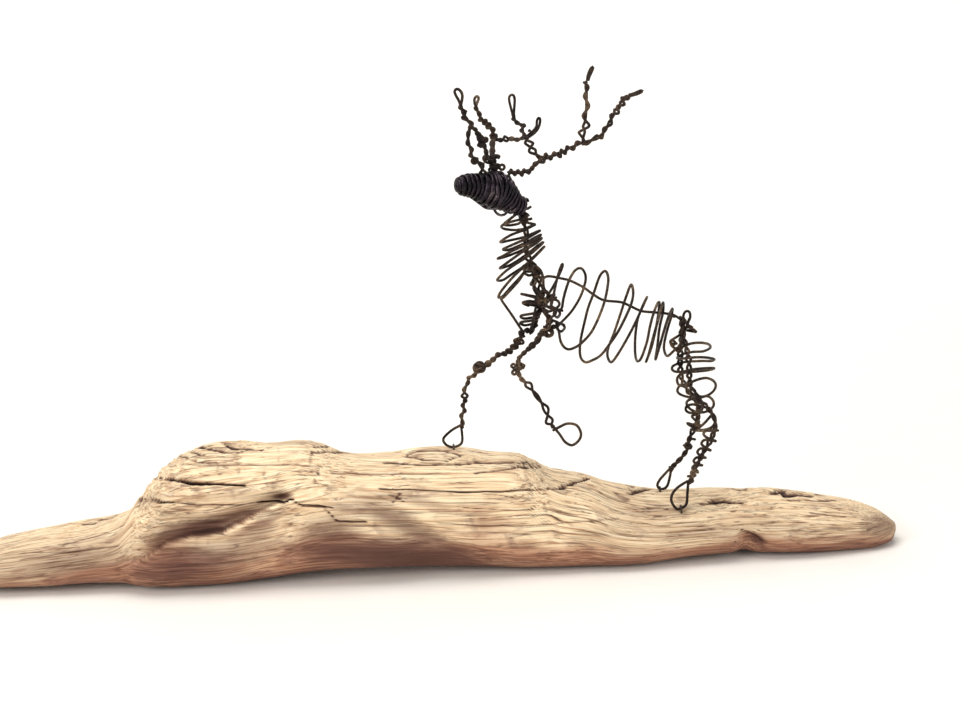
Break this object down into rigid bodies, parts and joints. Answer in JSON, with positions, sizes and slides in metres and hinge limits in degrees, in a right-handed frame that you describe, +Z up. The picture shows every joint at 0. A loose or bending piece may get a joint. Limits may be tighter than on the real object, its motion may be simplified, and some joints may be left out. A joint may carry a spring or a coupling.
{
  "type": "wire elk sculpture on driftwood",
  "caption": "Elk of twisted and coiled dark steel wire in mid stride, its hooves stapled to the piece of weathered driftwood that it stands on.",
  "frame": {"origin": "on the surface that the driftwood stands on, under the middle of the whole object", "axes": "+X along the driftwood, from the elk's head towards its tail; -Y is the side that the picture shows, the elk's left; +Z up"},
  "size_m": [0.497, 0.0694, 0.2447],
  "materials": {
    "driftwood": "weathered and bare, with open cracks",
    "wire": "dark annealed, satin",
    "head_wire": "dark annealed, satin, close wound",
    "staple": "dull grey brown"
  },
  "bodies": {
    "root": {"driftwood_base": "driftwood", "foreleg_right_staple": "staple", "hind_leg_left_staple": "staple", "hind_leg_right_staple": "staple", "head": "head_wire", "neck_core": "wire", "neck_wire": "wire", "chest_wire": "wire", "spine_wire": "wire", "foreleg_right": "wire", "foreleg_left": "wire", "rib_coil": "wire", "hind_leg_left": "wire", "hind_leg_right": "wire", "haunch_wire": "wire", "antler_left": "wire", "antler_right": "wire", "brow_tine": "wire"}
  },
  "joints": []
}
